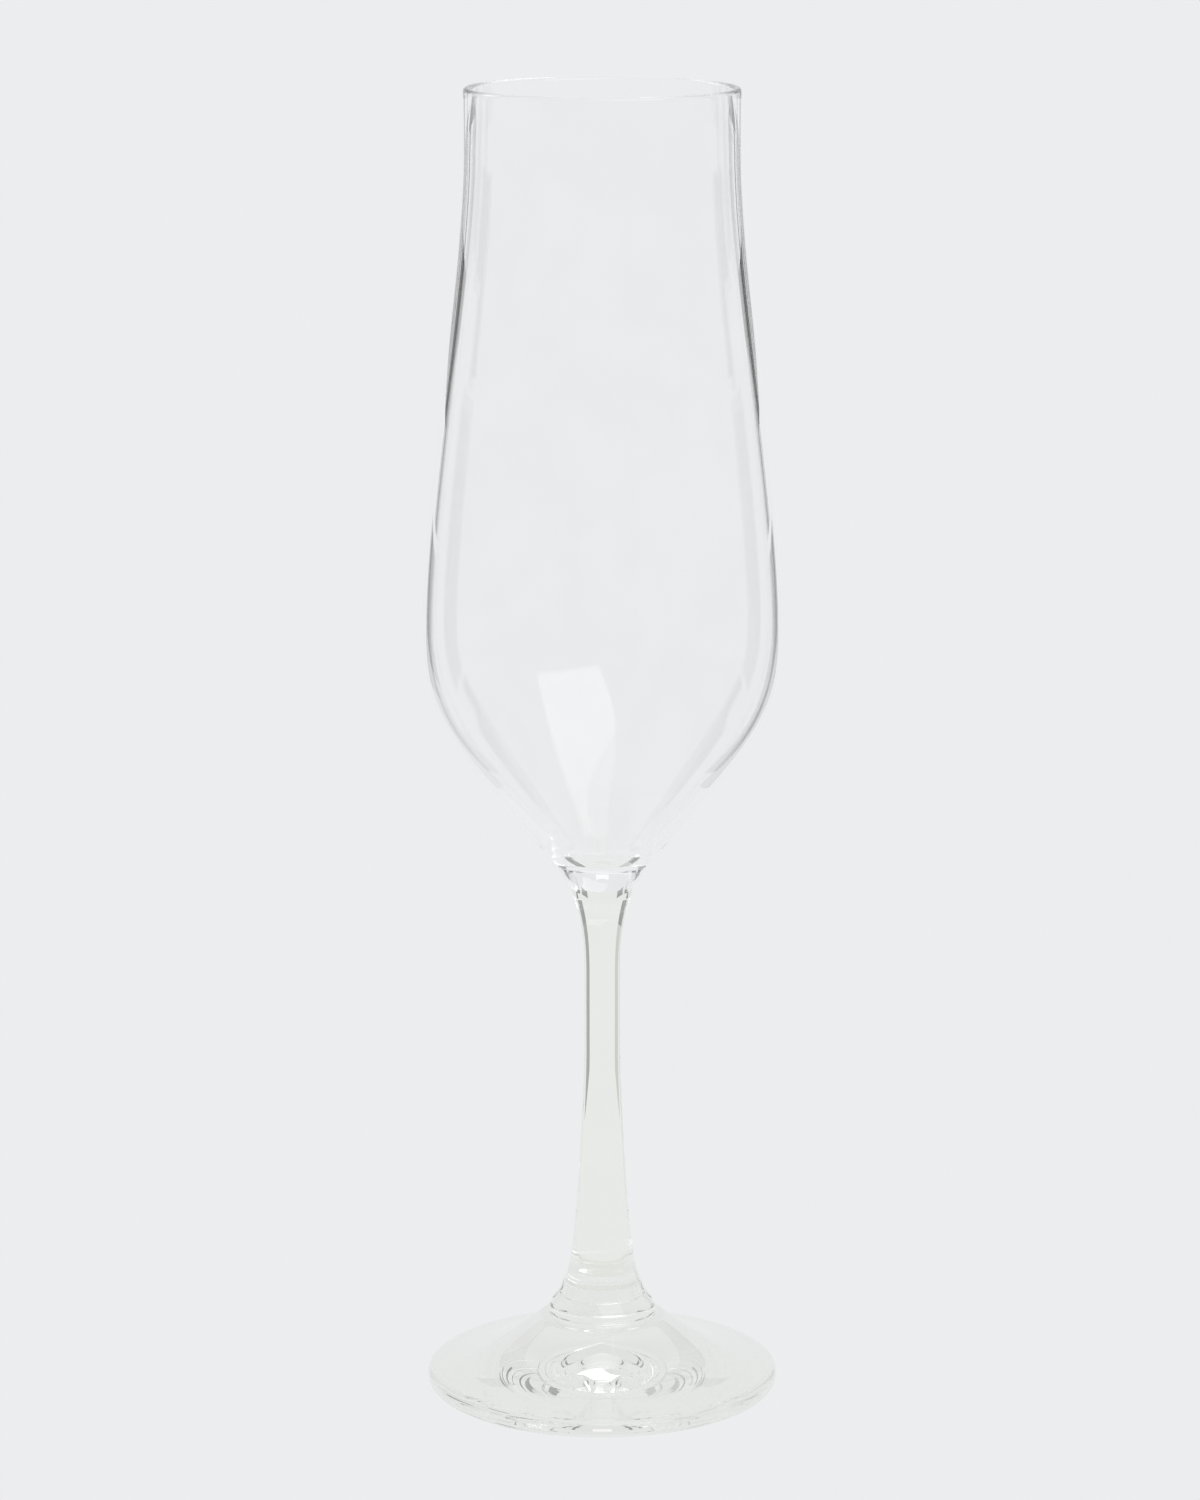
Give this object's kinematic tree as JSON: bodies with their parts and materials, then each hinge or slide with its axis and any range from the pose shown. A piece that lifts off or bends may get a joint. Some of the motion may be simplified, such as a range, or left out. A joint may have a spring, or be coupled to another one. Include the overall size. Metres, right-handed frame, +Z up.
{
  "type": "champagne flute",
  "caption": "Clear stemmed glass with a tall tulip bowl, a slender solid stem flaring at both ends and a round disc foot.",
  "frame": {"origin": "centre of the foot's resting ring, on the table", "axes": "+Z up along the axis of the glass, towards the rim"},
  "size_m": [0.0678, 0.0678, 0.2505],
  "materials": {
    "bowl_glass": "clear fire-polished soda-lime glass, thin blown wall",
    "stem_glass": "clear fire-polished solid glass",
    "foot_glass": "clear pressed and fire-polished solid glass"
  },
  "bodies": {
    "root": {"bowl": "bowl_glass", "stem": "stem_glass", "foot": "foot_glass"}
  },
  "joints": []
}
